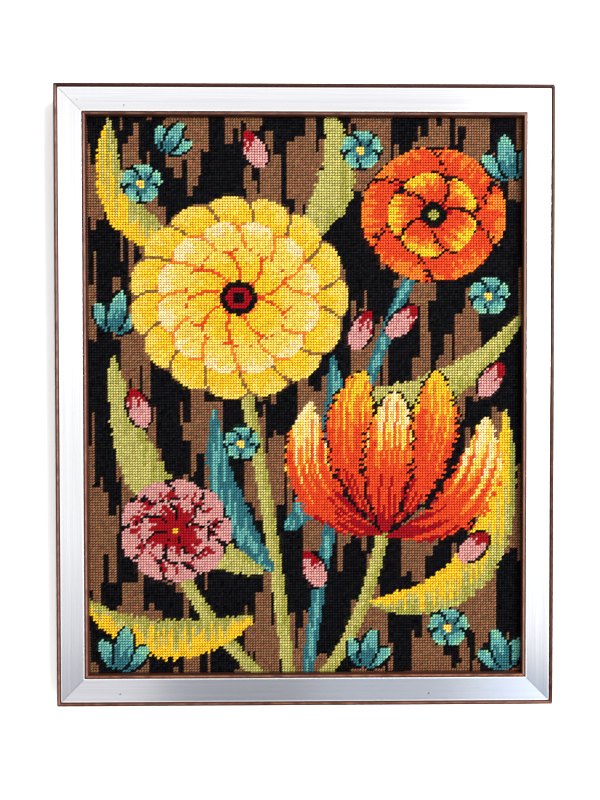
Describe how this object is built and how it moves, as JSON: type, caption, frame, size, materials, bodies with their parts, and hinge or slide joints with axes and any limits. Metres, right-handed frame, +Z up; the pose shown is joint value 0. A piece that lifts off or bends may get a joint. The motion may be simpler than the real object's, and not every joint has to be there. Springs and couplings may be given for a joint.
{
  "type": "framed needlepoint canvas panel",
  "caption": "Upright wall panel: a flat wool-stitched canvas held in a mitred wooden frame with an aluminium face.",
  "frame": {"origin": "middle of the top bar's back face, where the frame meets the wall", "axes": "+Z up the panel, +Y out of its back into the wall, +X to the right of someone looking at the stitched front"},
  "size_m": [0.472, 0.022, 0.588],
  "materials": {
    "wool_canvas": "matt wool half cross stitch on canvas",
    "stained_wood": "dark reddish-brown stain, satin varnish",
    "satin_aluminium": "satin, brushed lengthwise"
  },
  "bodies": {
    "root": {"needlepoint_canvas": "wool_canvas", "moulding_bottom": "stained_wood", "moulding_left": "stained_wood", "moulding_top": "stained_wood", "moulding_right": "stained_wood", "metal_face_bottom": "satin_aluminium", "metal_face_left": "satin_aluminium", "metal_face_top": "satin_aluminium", "metal_face_right": "satin_aluminium"}
  },
  "joints": []
}
